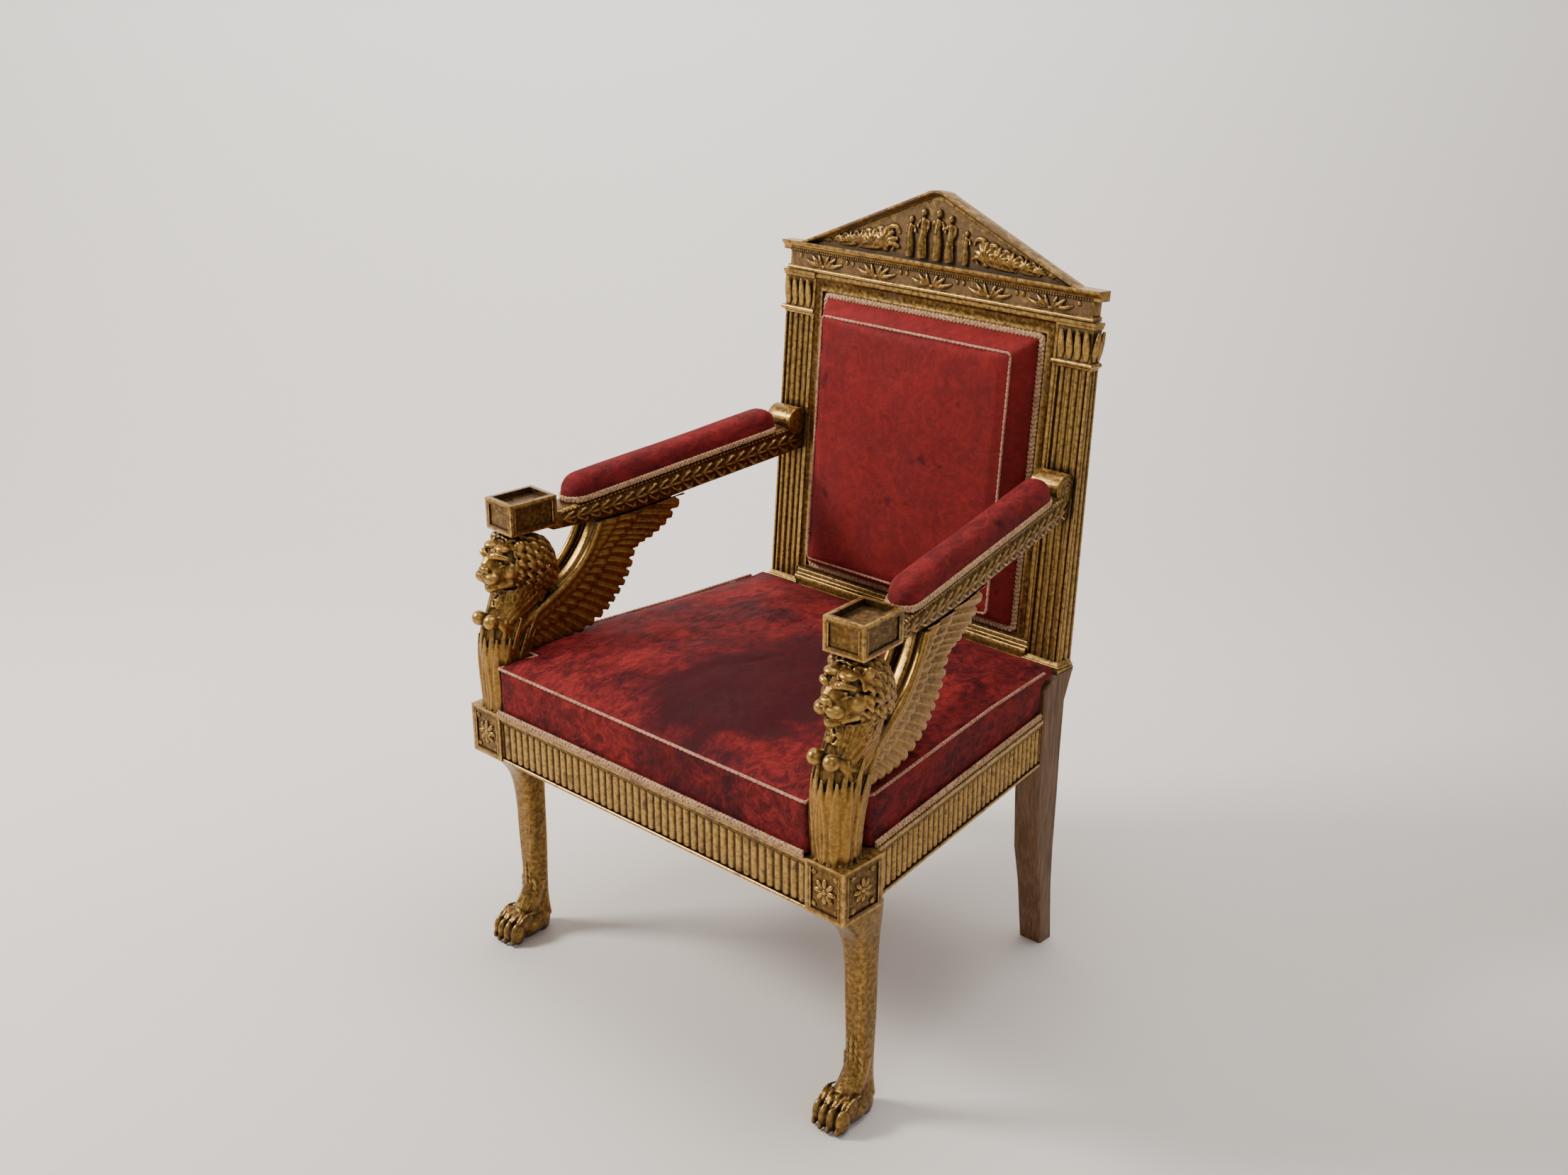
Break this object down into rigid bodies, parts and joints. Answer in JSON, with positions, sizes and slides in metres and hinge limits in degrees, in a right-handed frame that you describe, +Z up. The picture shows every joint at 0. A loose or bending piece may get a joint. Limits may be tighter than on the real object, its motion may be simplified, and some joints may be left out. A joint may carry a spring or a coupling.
{
  "type": "throne",
  "caption": "Gilt-wood throne armchair with winged lion arm supports, paw feet, fluted rails and posts, a triangular pediment and red velvet seat, back and arm pads",
  "frame": {"origin": "on the floor, under the middle of the throne's bounding box", "axes": "+Z up, the throne faces -Y, +X is the sitter's left"},
  "size_m": [0.7016, 0.6181, 1.0749],
  "materials": {
    "gilt_wood": "worn, toned gilding on carved wood",
    "worn_wood": "plain brown wood with little gilding left",
    "red_velvet": "crushed dark red velvet"
  },
  "bodies": {
    "root": {"front_leg_left": "gilt_wood", "front_leg_right": "gilt_wood", "lion_left": "gilt_wood", "lion_right": "gilt_wood", "arm_left": "gilt_wood", "arm_right": "gilt_wood", "stile_left": "gilt_wood", "stile_right": "gilt_wood", "front_rail": "gilt_wood", "side_rail_left": "gilt_wood", "side_rail_right": "gilt_wood", "lower_back_rail": "gilt_wood", "back_panel": "gilt_wood", "crest": "gilt_wood", "rear_rail": "worn_wood", "seat_cushion": "red_velvet", "back_cushion": "red_velvet", "arm_pad_left": "red_velvet", "arm_pad_right": "red_velvet"}
  },
  "joints": []
}
